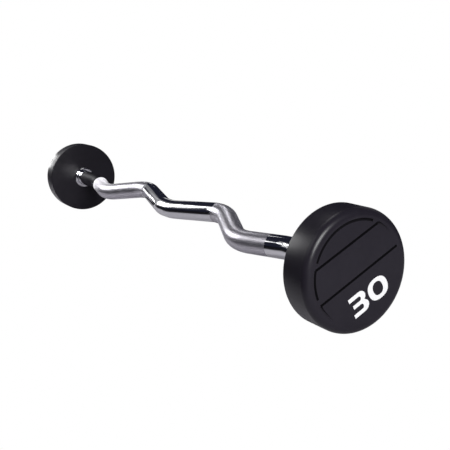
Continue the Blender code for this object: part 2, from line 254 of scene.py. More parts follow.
# %% [markdown]
# The knurled grips carry the same plating over thousands of small diamonds. The diamonds are
# real geometry further down. What the material adds is painted shade in the valleys: a vertex
# attribute says how high each point stands, and low points are given a darker colour, which
# stands in for shade there, and more roughness.

# %% Knurled chrome
knurled_chrome, tree, shader, coordinates = new_material("knurled_chrome", Metallic=1.0)
height = node(tree, "ShaderNodeAttribute", "how high on its diamond", attribute_name="knurl_height")
patches = place_group(tree, mottle, coordinates, Scale=30.0, Low=-0.12, High=0.12)
valley_shade_and_patches = node(tree, "ShaderNodeMath", "height and patches", operation="ADD", use_clamp=True)
join(tree, height.outputs["Fac"], valley_shade_and_patches.inputs[0])
join(tree, patches.outputs["Value"], valley_shade_and_patches.inputs[1])
# Painted shade: the plating's colour is darker in the valleys, with random patches of tone over it.
plating = tinted(tree, valley_shade_and_patches.outputs["Value"], (0.335, 0.325, 0.36), (0.59, 0.575, 0.62))
join(tree, plating, shader.inputs["Base Color"])
dull = node(tree, "ShaderNodeMapRange", "valleys are duller")
dull.inputs["To Min"].default_value = 0.55
dull.inputs["To Max"].default_value = 0.34
join(tree, valley_shade_and_patches.outputs["Value"], dull.inputs["Value"])
join(tree, dull.outputs["Result"], shader.inputs["Roughness"])
print("made", knurled_chrome.name)

# %% [markdown]
# The heads are cast urethane: nearly black with a trace of violet, satin, and slightly uneven in
# gloss where the mould's spray dried. A fine grain keeps the highlight on the rim from looking
# like glass, and a few long scuffs are only visible when the light rakes over them. In the real
# grooves hardly any light finds its way out again, so that shade is painted in: a vertex attribute
# that the heads carry makes the skin's colour blacker and matt there. A metal reflects only its
# own colour, so raising Metallic over black also takes away the pale sheen that a plastic keeps,
# which paints the grooves darker still.

# %% Black urethane
black_urethane, tree, shader, coordinates = new_material("black_urethane", Specular_IOR_Level=0.25)
patches = place_group(tree, mottle, coordinates, Scale=22.0, Low=0.0, High=1.0)
skin_colour = tinted(
    tree, patches.outputs["Value"], (0.0100, 0.0086, 0.0130), (0.0134, 0.0117, 0.0170))
# Painted shade: the groove attribute makes the skin's colour blacker and, through Metallic, takes
# away its sheen.
groove_shade = node(tree, "ShaderNodeAttribute", "inside a groove", attribute_name="groove")
dark = node(tree, "ShaderNodeMix", "grooves are blacker", data_type="RGBA")
dark.inputs["B"].default_value = (0.0035, 0.0033, 0.0040, 1.0)
join(tree, groove_shade.outputs["Fac"], dark.inputs["Factor"])
join(tree, skin_colour, dark.inputs["A"])
join(tree, dark.outputs["Result"], shader.inputs["Base Color"])
over_the_face = squeezed(tree, coordinates, (1.0, 9.0, 1.0))
scuffs = place_group(tree, hairline, over_the_face, Scale=30.0, Amount=0.10)
satin = place_group(tree, mottle, coordinates, Scale=16.0, Low=0.30, High=0.36)
total = node(tree, "ShaderNodeMath", "scuffs are rougher", operation="ADD")
join(tree, satin.outputs["Value"], total.inputs[0])
join(tree, scuffs.outputs["Mask"], total.inputs[1])
matt = node(tree, "ShaderNodeMath", "grooves are matt", operation="ADD", use_clamp=True)
join(tree, total.outputs["Value"], matt.inputs[0])
join(tree, groove_shade.outputs["Fac"], matt.inputs[1])
join(tree, matt.outputs["Value"], shader.inputs["Roughness"])
join(tree, groove_shade.outputs["Fac"], shader.inputs["Metallic"])
skin = place_group(tree, grain, coordinates, Scale=1400.0)
add_bump(tree, shader, skin.outputs["Height"], 0.10, 0.0002)
print("made", black_urethane.name)

# %% [markdown]
# The number is printed in a thick white ink. Ink on urethane is never a pure white and its
# surface is a little chalky, so it gets a pale grey mottling and more roughness than the head.

# %% White number ink
white_ink, tree, shader, coordinates = new_material("white_ink")
patches = place_group(tree, mottle, coordinates, Scale=90.0, Low=0.0, High=1.0)
ink = tinted(tree, patches.outputs["Value"], (0.73, 0.73, 0.74), (0.81, 0.81, 0.81))
join(tree, ink, shader.inputs["Base Color"])
chalk = place_group(tree, mottle, coordinates, Scale=60.0, Low=0.45, High=0.60)
join(tree, chalk.outputs["Value"], shader.inputs["Roughness"])
pores = place_group(tree, grain, coordinates, Scale=2200.0)
add_bump(tree, shader, pores.outputs["Height"], 0.15, 0.0001)
print("made", white_ink.name)

# %% [markdown]
# The weight core, its plug, the key pin, the washer and the bolt are sealed inside the head, but
# each still gets its own finish, for whoever takes the barbell apart. Turned steel shows rings
# round the bar's axis. Zinc plating is bluish with cloudy patches.

# %% Turned steel and zinc plate
turned_steel, tree, shader, coordinates = new_material("turned_steel", Metallic=1.0)
rings = node(tree, "ShaderNodeTexWave", "tool marks", wave_type="RINGS", rings_direction="X")
rings.inputs["Scale"].default_value = 700.0
rings.inputs["Distortion"].default_value = 1.5
join(tree, coordinates, rings.inputs["Vector"])
steel = tinted(tree, rings.outputs["Fac"], (0.34, 0.34, 0.35), (0.48, 0.48, 0.49))
join(tree, steel, shader.inputs["Base Color"])
cloud = place_group(tree, mottle, coordinates, Scale=40.0, Low=0.35, High=0.50)
join(tree, cloud.outputs["Value"], shader.inputs["Roughness"])
add_bump(tree, shader, rings.outputs["Fac"], 0.20, 0.0001)

zinc_plate, tree, shader, coordinates = new_material("zinc_plate", Metallic=1.0)
patches = place_group(tree, mottle, coordinates, Scale=120.0, Low=0.0, High=1.0)
zinc = tinted(tree, patches.outputs["Value"], (0.55, 0.57, 0.60), (0.68, 0.69, 0.71))
join(tree, zinc, shader.inputs["Base Color"])
cloud = place_group(tree, mottle, coordinates, Scale=90.0, Low=0.25, High=0.42)
join(tree, cloud.outputs["Value"], shader.inputs["Roughness"])
peel = place_group(tree, grain, coordinates, Scale=1500.0)
add_bump(tree, shader, peel.outputs["Height"], 0.10, 0.0001)

HIDDEN_FINISHES = {
    "core": turned_steel,
    "core_plug": turned_steel,
    "key_pin": turned_steel,
    "washer": zinc_plate,
    "bolt": zinc_plate,
}
for name, finish in HIDDEN_FINISHES.items():
    for side in ("right", "left"):
        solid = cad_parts[name + "_" + side]
        solid.data.materials.clear()
        solid.data.materials.append(finish)
print("finished", len(HIDDEN_FINISHES) * 2, "inner solids")

# %% [markdown]
# ## The barbell's stance
#
# The barbell lies on its two heads, rolled so that the plane of the bar's bends slopes. It is
# easiest to model it unrolled, with the bar along X and the bends in the X-Y plane, and to turn
# and lift each finished mesh by the same matrix.

# %% Measure the stance and define how a piece is finished
HEAD_RADIUS = 0.07075
HEAD_BACK = 0.4354                # the heads' inner faces, from the middle
HEAD_THICKNESS = 0.0408
HEAD_FACE = HEAD_BACK + HEAD_THICKNESS
STANCE_ROLL = math.radians(22.5)
SHARP_ANGLE = math.radians(30)    # a steeper edge isn't shaded smooth
MERGE_DISTANCE = 1e-7
IN_PLANE = 1e-6                   # a point this near to a plane lies in it

bottom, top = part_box("jacket_right")
AXIS_HEIGHT = bottom.z + (top.z - bottom.z) / 2
STANCE = Matrix.Translation((0, 0, AXIS_HEIGHT)) @ Matrix.Rotation(STANCE_ROLL, 4, "X")
TURNED_ROUND = Matrix.Rotation(math.pi, 4, "Z")
SIDES = {"right": STANCE, "left": STANCE @ TURNED_ROUND}
print("bar's axis is", round(AXIS_HEIGHT * 1000, 2), "mm above the floor")


def finished(name, bm, finish, replaced, stance=STANCE):
    """Make a mesh object of a bmesh: doubles merged, faces outwards, place in its mesh."""
    bmesh.ops.remove_doubles(bm, verts=bm.verts[:], dist=MERGE_DISTANCE)
    bmesh.ops.transform(bm, matrix=stance, verts=bm.verts[:])
    bmesh.ops.recalc_face_normals(bm, faces=bm.faces[:])
    mesh = bpy.data.meshes.new(name)
    bm.to_mesh(mesh)
    bm.free()
    mesh.shade_smooth()
    mesh.set_sharp_from_angle(angle=SHARP_ANGLE)
    mesh.materials.append(finish)
    piece = bpy.data.objects.new(name, mesh)
    bpy.context.scene.collection.objects.link(piece)
    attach(piece, "root")
    if replaced:
        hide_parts(replaced)
    print(name, len(mesh.polygons), "faces")
    return piece


def only(kind, geometry):
    return [item for item in geometry if isinstance(item, kind)]

# %% [markdown]
# ## The bar
#
# The real bar is one rod, bent cold round a former, so every bend has the same radius and the
# rod stays round through it. A curve with a bevel could make it, but its rings bunch up at the
# corners. Here the centreline is cut into straight legs and arcs, a function gives the place and
# direction at any distance along it, and one ring of edges is extruded and carried from place to
# place. That also lets the knurled and the plain stretches start exactly where one wants.

# %% The bar's centreline
BAR_RADIUS = 0.015
BEND_RADIUS = 0.086
BENDS = [(0.3431, 0.0), (0.2474, -0.0183), (0.1425, 0.0262), (0.0162, -0.0033)]
SHOULDER_DEPTH = 0.0025           # the bar's shoulder lies this far inside each head
BAR_END = HEAD_BACK + SHOULDER_DEPTH


def centreline_legs():
    """Legs of the centreline from left to right, each (length, start, heading, turn)."""
    corners = [Vector((-BAR_END, 0, 0))]
    corners += [Vector((-x, y, 0)) for x, y in BENDS]
    corners += [Vector((x, y, 0)) for x, y in reversed(BENDS)]
    corners.append(Vector((BAR_END, 0, 0)))
    legs = []
    reached = corners[0]
    for before, corner, after in zip(corners, corners[1:], corners[2:]):
        arriving, leaving = (corner - before).normalized(), (after - corner).normalized()
        turn = arriving.angle(leaving) * math.copysign(1, arriving.cross(leaving).z)
        tangent = BEND_RADIUS * math.tan(abs(turn) / 2)
        start = corner - arriving * tangent
        legs.append(((start - reached).length, reached, arriving, 0.0))
        legs.append((BEND_RADIUS * abs(turn), start, arriving, turn))
        reached = corner + leaving * tangent
    legs.append(((corners[-1] - reached).length, reached, Vector((1, 0, 0)), 0.0))
    return legs


LEGS = centreline_legs()
BAR_LENGTH = sum(leg[0] for leg in LEGS)
print("bar is", round(BAR_LENGTH * 1000, 1), "mm long along its wave, in", len(LEGS), "legs")

# %% Place and direction anywhere on the centreline
def pose_at(distance):
    """Matrix whose X axis points along the bar at a distance from its left end."""
    for number, (length, start, heading, turn) in enumerate(LEGS):
        if distance <= length or number == len(LEGS) - 1:
            break
        distance -= length
    facing = Matrix.Rotation(math.atan2(heading.y, heading.x), 4, "Z")
    if turn == 0:
        return Matrix.Translation(start + heading * distance) @ facing
    side = math.copysign(BEND_RADIUS, turn)
    swept = Matrix.Rotation(turn * distance / length, 4, "Z")
    pivot = Matrix.Translation((0, side, 0))
    return Matrix.Translation(start) @ facing @ pivot @ swept @ pivot.inverted()


HALVINGS = 50                     # of the stretch in which a station is looked for


def distance_at(x):
    """Distance along the bar at which its centreline passes a station x."""
    low, high = 0.0, BAR_LENGTH
    for _ in range(HALVINGS):
        middle = (low + high) / 2
        if pose_at(middle).translation.x < x:
            low = middle
        else:
            high = middle
    return low

print("middle of the bar:", [round(v * 1000, 2) for v in pose_at(BAR_LENGTH / 2).translation])

# %% Sweep a ring along a stretch of the bar
def swept_ring(start, end, sides, spacing, radius=BAR_RADIUS):
    """Open tube along the bar; each vertex keeps its row and column number."""
    bm = bmesh.new()
    row = bm.verts.layers.int.new("row")
    column = bm.verts.layers.int.new("column")
    count = max(2, round((end - start) / spacing))
    facing_x = Matrix.Rotation(math.pi / 2, 4, "Y")
    bmesh.ops.create_circle(bm, segments=sides, radius=radius, matrix=pose_at(start) @ facing_x)
    for number, vert in enumerate(bm.verts):
        vert[column] = number
    edges = bm.edges[:]
    reached = pose_at(start)
    for number in range(1, count + 1):
        target = pose_at(start + (end - start) * number / count)
        made = bmesh.ops.extrude_edge_only(bm, edges=edges)["geom"]
        verts, edges = only(bmesh.types.BMVert, made), only(bmesh.types.BMEdge, made)
        bmesh.ops.transform(bm, matrix=target @ reached.inverted(), verts=verts)
        for vert in verts:
            vert[row] = number
        reached = target
    return bm, row, column, count

# %% [markdown]
# Inside each head the rod is turned down to a spigot with a shoulder, and its end is bored for
# the bolt. The outside never shows that, but a barbell that is taken apart does. These are steps
# of the bar's own last ring: it is extruded, scaled about the axis and moved on, again and again.

# %% Turned ends
SPIGOT_RADIUS = 0.0125
SPIGOT_END = HEAD_BACK + 0.0221
SPIGOT_CHAMFER = 0.001
BOLT_HOLE_RADIUS = 0.0063
BOLT_HOLE_FLOOR = HEAD_BACK - 0.0018
SPIGOT_STEPS = [
    (BAR_END, SPIGOT_RADIUS),
    (SPIGOT_END - SPIGOT_CHAMFER, SPIGOT_RADIUS),
    (SPIGOT_END, SPIGOT_RADIUS - SPIGOT_CHAMFER),
    (SPIGOT_END, BOLT_HOLE_RADIUS),
    (BOLT_HOLE_FLOOR, BOLT_HOLE_RADIUS),
]


def open_rims(bm):
    return [edge for edge in bm.edges if edge.is_boundary]


def turn_end(bm, outwards):
    """Carry the ring at the bar's end on; outwards is 1 at the right end and -1 at the left."""
    ring = [edge for edge in open_rims(bm) if edge.verts[0].co.x * outwards > HEAD_BACK]
    reached, width = BAR_END, BAR_RADIUS
    for station, radius in SPIGOT_STEPS:
        made = bmesh.ops.extrude_edge_only(bm, edges=ring)["geom"]
        verts, ring = only(bmesh.types.BMVert, made), only(bmesh.types.BMEdge, made)
        bmesh.ops.scale(bm, vec=(1, radius / width, radius / width), verts=verts)
        bmesh.ops.translate(bm, vec=(outwards * (station - reached), 0, 0), verts=verts)
        reached, width = station, radius

print("spigots reach", round((SPIGOT_END - BAR_END) * 1000, 1), "mm into the heads")

# %% [markdown]
# The plain stretches are the two ends next to the heads and the middle. They are mirrors, and a
# mirror shows every facet, so they get many sides and short steps. Every stretch is closed with a
# flat cap where the next one begins, so each is a solid by itself.

# %% Plain stretches
GRIP_INNER = 0.128                # the knurl runs between these two stations
GRIP_OUTER = 0.3155
PLAIN_SIDES = 128
PLAIN_SPACING = 0.0022

stretches = {
    "bar_end_left": (0.0, distance_at(-GRIP_OUTER)),
    "bar_middle": (distance_at(-GRIP_INNER), distance_at(GRIP_INNER)),
    "bar_end_right": (distance_at(GRIP_OUTER), BAR_LENGTH),
}
for name, (start, end) in stretches.items():
    bm, *_ = swept_ring(start, end, PLAIN_SIDES, PLAIN_SPACING)
    if name != "bar_middle":
        turn_end(bm, 1 if name == "bar_end_right" else -1)
    bmesh.ops.edgeloop_fill(bm, edges=open_rims(bm))
    finished(name, bm, bright_chrome, "bar")

# %% [markdown]
# Knurling is pressed into the rod by two wheels, which leave crossing V grooves and a field of
# small flat-topped diamonds between them. On a grid of rows and columns that is a chessboard: the
# black squares' corners are the crossings of the grooves. Joining them across every face and
# dissolving the corners between gives a skin of diamonds, and each is then inset and raised by
# itself. The first and last rows stay plain, where the wheels ran out.

# %% Knurled grips
KNURL_SIDES = 144
KNURL_SPACING = 0.00095
KNURL_HEIGHT = 0.00010
KNURL_BEVEL = 0.00011
KNURL_BASE = BAR_RADIUS - 0.00008

grips = {
    "grip_left": (distance_at(-GRIP_OUTER), distance_at(-GRIP_INNER)),
    "grip_right": (distance_at(GRIP_INNER), distance_at(GRIP_OUTER)),
}
for name, (start, end) in grips.items():
    bm, row, column, count = swept_ring(start, end, KNURL_SIDES, KNURL_SPACING, KNURL_BASE)
    bm.normal_update()
    # The layer is 1 on the diamonds' tops and the plain rims and 0 in the valleys, where the material
    # paints shade.
    painted_shade_layer = bm.verts.layers.float.new("knurl_height")
    rims = [vert for vert in bm.verts if vert[row] in (0, count)]
    for vert in rims:
        vert.co += vert.normal * (BAR_RADIUS - KNURL_BASE)
        vert[painted_shade_layer] = 1.0
    crossings = [vert for vert in bm.verts if (vert[row] + vert[column]) % 2 == 0]
    middles = [vert for vert in bm.verts
               if (vert[row] + vert[column]) % 2 and vert[row] not in (0, count)]
    bmesh.ops.connect_verts(bm, verts=crossings)
    bmesh.ops.dissolve_verts(bm, verts=middles)
    diamonds = [face for face in bm.faces
                if all(vert[row] not in (0, count) for vert in face.verts)]
    bmesh.ops.inset_individual(bm, faces=diamonds, thickness=KNURL_BEVEL, depth=KNURL_HEIGHT)
    for face in diamonds:
        for vert in face.verts:
            vert[painted_shade_layer] = 1.0
    bmesh.ops.edgeloop_fill(bm, edges=open_rims(bm))
    print(len(diamonds), "diamonds")
    finished(name, bm, knurled_chrome, "bar")

# %% [markdown]
# ## The collars
#
# A chromed ring sits on the bar against each head and hides the joint. It is a turned part, so
# its profile is spun once round the bar.

# %% Spin a profile round the bar's axis
def spun(profile, sides, closed):
    """Spin (x, r) points round X. A closed profile makes a ring; an open one gets flat caps."""
    bm = bmesh.new()
    verts = [bm.verts.new((HEAD_BACK + x, r, 0)) for x, r in profile]
    edges = [bm.edges.new(pair) for pair in zip(verts, verts[1:])]
    if closed:
        edges.append(bm.edges.new((verts[-1], verts[0])))
    bmesh.ops.spin(bm, geom=verts + edges, cent=(0, 0, 0), axis=(1, 0, 0),
                   angle=2 * math.pi, steps=sides, use_merge=True)
    if not closed:
        bmesh.ops.edgeloop_fill(bm, edges=open_rims(bm))
    return bm


def arc(centre, radius, first, last, steps):
    """Profile points on an arc; angles in degrees, from +X towards +r."""
    angles = [math.radians(first + (last - first) * i / steps) for i in range(steps + 1)]
    return [(centre[0] + radius * math.cos(a), centre[1] + radius * math.sin(a)) for a in angles]

# %% Collars
COLLAR_RADIUS = 0.0205
COLLAR_STAND_OFF = 0.005
COLLAR_ROUND = 0.0018
COLLAR_LIP = 0.0005               # the smaller rounding, at the bore
COLLAR_SUNK = 0.0024              # how deep the collar sits in the head's inner face
FIT_GAP = 0.0003                  # between pieces that touch
COLLAR_BORE = BAR_RADIUS + FIT_GAP
COLLAR_SIDES = 128

outer_middle = (COLLAR_ROUND - COLLAR_STAND_OFF, COLLAR_RADIUS - COLLAR_ROUND)
inner_middle = (COLLAR_LIP - COLLAR_STAND_OFF, COLLAR_BORE + COLLAR_LIP)
collar_profile = [(COLLAR_SUNK, COLLAR_BORE), (COLLAR_SUNK, COLLAR_RADIUS)]
collar_profile += arc(outer_middle, COLLAR_ROUND, 90, 180, steps=8)
collar_profile += arc(inner_middle, COLLAR_LIP, 180, 270, steps=4)
for side, stance in SIDES.items():
    bm = spun(collar_profile, COLLAR_SIDES, closed=True)
    finished("collar_ring_" + side, bm, bright_chrome, "collar_" + side, stance)

# %% [markdown]
# ## The heads
#
# Each head is a steel disc with urethane cast round it. The outer edge has a large soft fillet,
# which catches the one long highlight, and the inner edge a small one. The outer face is split
# into a cap, a band and a lower field by shallow grooves. The body is spun, and the grooves are
# cut with Booleans. Their cutters taper like the ribs of a mould, which have to come out again.

# %% Head body
FACE_ROUND = 0.0085
BACK_ROUND = 0.0012
SIDE_WALL = 0.0035
FACE_WALL = 0.0040
BACK_WALL = 0.0025
OPENING_RADIUS = COLLAR_RADIUS + FIT_GAP
CAVITY_RADIUS = HEAD_RADIUS - SIDE_WALL
CAVITY_TAPER = 0.005              # the cavity is this much narrower at the outer face
HEAD_SIDES = 192

rim_middle = (HEAD_THICKNESS - FACE_ROUND, HEAD_RADIUS - FACE_ROUND)
head_profile = arc(rim_middle, FACE_ROUND, 0, 90, steps=18)
head_profile += arc((BACK_ROUND, HEAD_RADIUS - BACK_ROUND), BACK_ROUND, 90, 180, steps=6)
head_profile += [(0.0, OPENING_RADIUS), (BACK_WALL, OPENING_RADIUS)]
head_profile += [(BACK_WALL, CAVITY_RADIUS)]
head_profile += [(HEAD_THICKNESS - FACE_WALL, CAVITY_RADIUS - CAVITY_TAPER)]
print("head profile has", len(head_profile), "points")

# %% [markdown]
# A straight groove is one tapered section carried across the face. A curved one is the same
# section spun about the head's axis. The spin operator can also step forwards as it turns, like
# a thread, and that is used to let a groove climb out of the face and fade, as the photograph
# shows at the right end of the band and the left end of the lower field.

# %% Groove cutters
PANEL_RADIUS = 0.05815
BAND_TOP = 0.0348
BAND_BOTTOM = -0.0036
BAND_TILT = math.radians(5.4)
GROOVE_TOP_WIDTH = 0.0028
GROOVE_FLOOR_WIDTH = 0.0017
GROOVE_DEPTH = 0.0026
GROOVE_CLIMB = 0.0025             # a climbing groove ends just short of the face
PANEL_GAP = math.radians(8.0)
LOWER_ARC = math.radians(24.0)
RIGHT_ARC = math.radians(18.0)
CUTTER_MARGIN = 0.002             # how far a cutter stands out of the face
LEAST_SPIN_STEPS = 6
SPIN_STEP = math.radians(2)


def groove_section(bm, origin, across):
    """One face of the groove's section at a point of the face, lying across the groove."""
    slope = (GROOVE_TOP_WIDTH - GROOVE_FLOOR_WIDTH) / 2 / GROOVE_DEPTH
    roof_x, floor_x = HEAD_FACE + CUTTER_MARGIN, HEAD_FACE - GROOVE_DEPTH
    roof, floor = GROOVE_TOP_WIDTH / 2 + slope * CUTTER_MARGIN, GROOVE_FLOOR_WIDTH / 2
    corners = [(roof_x, -roof), (roof_x, roof), (floor_x, floor), (floor_x, -floor)]
    return bm.faces.new([bm.verts.new(Vector((x, 0, 0)) + origin + across * w) for x, w in corners])


def straight_groove(height):
    half = math.sqrt(PANEL_RADIUS ** 2 - height ** 2)
    bm = bmesh.new()
    section = groove_section(bm, Vector((0, -half, height)), Vector((0, 0, 1)))
    made = bmesh.ops.extrude_face_region(bm, geom=[section])["geom"]
    bmesh.ops.translate(bm, vec=(0, 2 * half, 0), verts=only(bmesh.types.BMVert, made))
    return bm


def curved_groove(start, end, climb=0.0):
    """Cutter from one angle to the other; climb is how far it has risen at its end."""
    bm = bmesh.new()
    outwards = Vector((0, math.cos(start), math.sin(start)))
    section = groove_section(bm, outwards * PANEL_RADIUS, outwards)
    steps = max(LEAST_SPIN_STEPS, round(abs(end - start) / SPIN_STEP))
    bmesh.ops.spin(bm, geom=[section], cent=(0, 0, 0), axis=(1, 0, 0), dvec=(climb / steps, 0, 0),
                   angle=end - start, steps=steps, use_merge=False)
    return bm


top_angle = math.asin(BAND_TOP / PANEL_RADIUS)
bottom_angle = math.asin(BAND_BOTTOM / PANEL_RADIUS)
GROOVES = [
    straight_groove(BAND_TOP),
    straight_groove(BAND_BOTTOM),
    curved_groove(top_angle + PANEL_GAP, math.pi - top_angle - PANEL_GAP),
    curved_groove(math.pi - top_angle, math.pi - bottom_angle - PANEL_GAP),
    curved_groove(top_angle, top_angle - RIGHT_ARC, GROOVE_CLIMB),
    curved_groove(math.pi - bottom_angle, math.pi - bottom_angle + LOWER_ARC, GROOVE_CLIMB),
]
groove_meshes = []
for number, bm in enumerate(GROOVES):
    bmesh.ops.rotate(bm, cent=(0, 0, 0), matrix=Matrix.Rotation(BAND_TILT, 3, "X"), verts=bm.verts[:])
    bmesh.ops.recalc_face_normals(bm, faces=bm.faces[:])
    mesh = bpy.data.meshes.new("groove")
    bm.to_mesh(mesh)
    bm.free()
    groove_meshes.append(mesh)
print(len(groove_meshes), "groove cutters")

# %% [markdown]
# The Booleans are evaluated one after the other, as modifiers on one blank head, and the result
# is stored as a plain mesh that both heads are made from.

# %% Cut the heads
def cut_head():
    bm = spun(head_profile, HEAD_SIDES, closed=False)
    bmesh.ops.recalc_face_normals(bm, faces=bm.faces[:])
    mesh = bpy.data.meshes.new("head")
    bm.to_mesh(mesh)
    bm.free()
    blank = bpy.data.objects.new("head_blank", mesh)
    bpy.context.scene.collection.objects.link(blank)
    cutters = []
    for groove in groove_meshes:
        cutter = bpy.data.objects.new("groove_cutter", groove)
        bpy.context.scene.collection.objects.link(cutter)
        cutters.append(cutter)
        modifier = blank.modifiers.new("groove", "BOOLEAN")
        modifier.operation = "DIFFERENCE"
        modifier.solver = "EXACT"
        modifier.object = cutter
    graph = bpy.context.evaluated_depsgraph_get()
    cut = bpy.data.meshes.new_from_object(blank.evaluated_get(graph))
    for scrap in cutters + [blank]:
        bpy.data.objects.remove(scrap)
    return cut


head_mesh = cut_head()
print("cut head:", len(head_mesh.polygons), "faces")

# %% [markdown]
# A narrow bevel softens the grooves' lips. Each point then gets its painted groove shade:
# strongest in the straight grooves, less in the arcs, fading to nothing where an arc climbs out
# of the face.
# The face itself stays one flat polygon, and its flat shading keeps the grooves from smearing
# the light over it.

# %% Soften the grooves' lips and place both heads
LIP_WIDTH = 0.00022
# Painted shade in the grooves: how dark the material makes a straight groove and an arc.
STRAIGHT_GROOVE_SHADE = 0.76
ARC_GROOVE_SHADE = 0.60
FADING_ARCS = [                   # where each starts, how far it runs and its first tone
    (math.pi - bottom_angle, LOWER_ARC, 0.3),
    (top_angle, -RIGHT_ARC, 0.4),
]
ARC_OVERRUN = 1.2                 # a fading arc's last points count as part of it
ROUND_OUTLINE = 64                # a face with more corners than this is the whole flat front


def on_groove_lip(edge):
    """A sharp edge that lies in the outer face's plane."""
    level = all(abs(vert.co.x - HEAD_FACE) < IN_PLANE for vert in edge.verts)
    return level and len(edge.link_faces) == 2 and edge.calc_face_angle() > SHARP_ANGLE


def painted_groove_shade(vert):
    """How much painted shade a point gets: most in a straight groove, 0 on the rest of the head."""
    depth = HEAD_FACE - vert.co.x
    radius = vert.co.yz.length
    in_a_groove = IN_PLANE < depth < GROOVE_DEPTH + IN_PLANE
    if not in_a_groove or radius > HEAD_RADIUS - FACE_ROUND:
        return 0.0
    angle = (math.atan2(vert.co.z, vert.co.y) - BAND_TILT) % (2 * math.pi)
    height = radius * math.sin(angle)
    if min(abs(height - BAND_TOP), abs(height - BAND_BOTTOM)) < GROOVE_TOP_WIDTH / 2 + LIP_WIDTH:
        return STRAIGHT_GROOVE_SHADE
    for start, sweep, shade_at_start in FADING_ARCS:
        progress = (angle - start) / sweep
        if 0 < progress < ARC_OVERRUN:
            return shade_at_start * max(0.0, 1 - progress)
    return ARC_GROOVE_SHADE


for side, stance in SIDES.items():
    bm = bmesh.new()
    bm.from_mesh(head_mesh)
    lips = [edge for edge in bm.edges if on_groove_lip(edge)]
    bmesh.ops.bevel(bm, geom=lips, offset=LIP_WIDTH, affect="EDGES", segments=2, profile=0.5,
                    material=-1, clamp_overlap=True)
    # Each point's painted groove shade is kept in a layer that the material reads.
    painted_shade_layer = bm.verts.layers.float.new("groove")
    for vert in bm.verts:
        vert[painted_shade_layer] = painted_groove_shade(vert)
    piece = finished("head_" + side, bm, black_urethane, "jacket_" + side, stance)
    for face in piece.data.polygons:
        if len(face.vertices) > ROUND_OUTLINE:
            face.use_smooth = False

# %% [markdown]
# ## The number
#
# The heads carry their weight as a printed number: a wide, heavy 3 and 0. Blender's own font has
# other shapes, so each digit is a flat curve. Curves are good for this, because a stroke's
# straight ends and round bowls need only a few points with handles, and an inner outline is cut
# out by itself. The points are in millimetres on the face, from its middle, along and across
# the band.

# %% Outlines of the digits
def corner(x, y):
    return ((x, y), (x, y), (x, y))


def smooth(x, y, dx, dy):
    """A point whose handles run both ways along (dx, dy)."""
    return ((x - dx, y - dy), (x, y), (x + dx, y + dy))


def squircle(x, y, half_width, half_height, fullness):
    """Four points of a rounded oval; 0.55 gives an ellipse, more is squarer."""
    w, h = half_width * fullness, half_height * fullness
    return [
        smooth(x + half_width, y, 0, h),
        smooth(x, y + half_height, -w, 0),
        smooth(x - half_width, y, 0, -h),
        smooth(x, y - half_height, w, 0),
    ]


ZERO = [squircle(14.9, -32.1, 14.4, 13.2, 0.66), squircle(14.9, -32.0, 6.8, 7.9, 0.64)]
THREE = [[
    corner(-26.0, -19.5), corner(-10.2, -19.5), smooth(-2.4, -26.0, 0, -3.6), corner(-5.6, -31.8),
    smooth(-2.0, -38.2, 0, -3.8), corner(-10.6, -45.5), corner(-26.0, -45.5), corner(-26.0, -40.2),
    corner(-12.2, -40.2), smooth(-10.0, -37.5, 0, 1.5), corner(-12.2, -34.8), corner(-23.2, -34.8),
    corner(-23.2, -29.7), corner(-12.2, -29.7), smooth(-10.0, -27.2, 0, 1.4), corner(-12.2, -24.9),
    corner(-26.0, -24.9),
]]
BOWL_HANDLES = {1: 4.4, 5: -4.6, 8: 1.2, 10: -1.2, 13: 1.2, 15: -1.2}
for number, dx in BOWL_HANDLES.items():
    (x, y) = THREE[0][number][1]
    THREE[0][number] = ((x - dx, y), (x, y), (x + dx, y))
print("digits have", sum(len(loop) for loop in ZERO + THREE), "points")

# %% [markdown]
# A stroke's straight run must stay straight, so at a point between a straight and a round part
# only the handle on the round side is long. The ink stands a fifth of a millimetre proud.

# %% Build the digits
INK_HEIGHT = 0.0002
INK_SUNK = 0.0001
STROKE_THINNING = -0.3            # mm, off every edge of a digit
OUTLINE_STEPS = 16                # between two points of an outline
MILLIMETRE = 0.001


def digit_mesh(name, loops, straight_before, straight_after):
    curve = bpy.data.curves.new(name, "CURVE")
    curve.dimensions = "2D"
    curve.fill_mode = "BOTH"
    curve.resolution_u = OUTLINE_STEPS
    curve.extrude = (INK_HEIGHT + INK_SUNK) / 2 / MILLIMETRE
    curve.offset = STROKE_THINNING
    for loop in loops:
        spline = curve.splines.new("BEZIER")
        spline.bezier_points.add(len(loop) - 1)
        spline.use_cyclic_u = True
        for number, (point, (before, place, after)) in enumerate(zip(spline.bezier_points, loop)):
            point.handle_left_type = point.handle_right_type = "FREE"
            point.co = (*place, 0)
            point.handle_left = (*(place if number in straight_before else before), 0)
            point.handle_right = (*(place if number in straight_after else after), 0)
    shape = bpy.data.objects.new(name, curve)
    bpy.context.scene.collection.objects.link(shape)
    graph = bpy.context.evaluated_depsgraph_get()
    mesh = bpy.data.meshes.new_from_object(shape.evaluated_get(graph))
    bpy.data.objects.remove(shape)
    return mesh


digit_meshes = {
    "zero": digit_mesh("zero", ZERO, (), ()),
    "three": digit_mesh("three", THREE, (1, 8, 13), (5, 10, 15)),
}
for name, mesh in digit_meshes.items():
    print(name, len(mesh.polygons), "faces")

# %% [markdown]
# A digit is drawn flat in X-Y, in millimetres. On the face its X runs along the band and its Y
# up the face, and its thickness points out of the head. The matrix's columns say just that.

# %% Print the digits on both faces
ON_FACE = Matrix((
    (0, 0, 1, HEAD_FACE + (INK_HEIGHT - INK_SUNK) / 2),
    (1, 0, 0, 0),
    (0, 1, 0, 0),
    (0, 0, 0, 1),
))
for side, stance in SIDES.items():
    for name, mesh in digit_meshes.items():
        bm = bmesh.new()
        bm.from_mesh(mesh)
        bmesh.ops.scale(bm, vec=(MILLIMETRE, MILLIMETRE, MILLIMETRE), verts=bm.verts[:])
        placed = stance @ Matrix.Rotation(BAND_TILT, 4, "X") @ ON_FACE
        finished("number_" + name + "_" + side, bm, white_ink, None, placed)
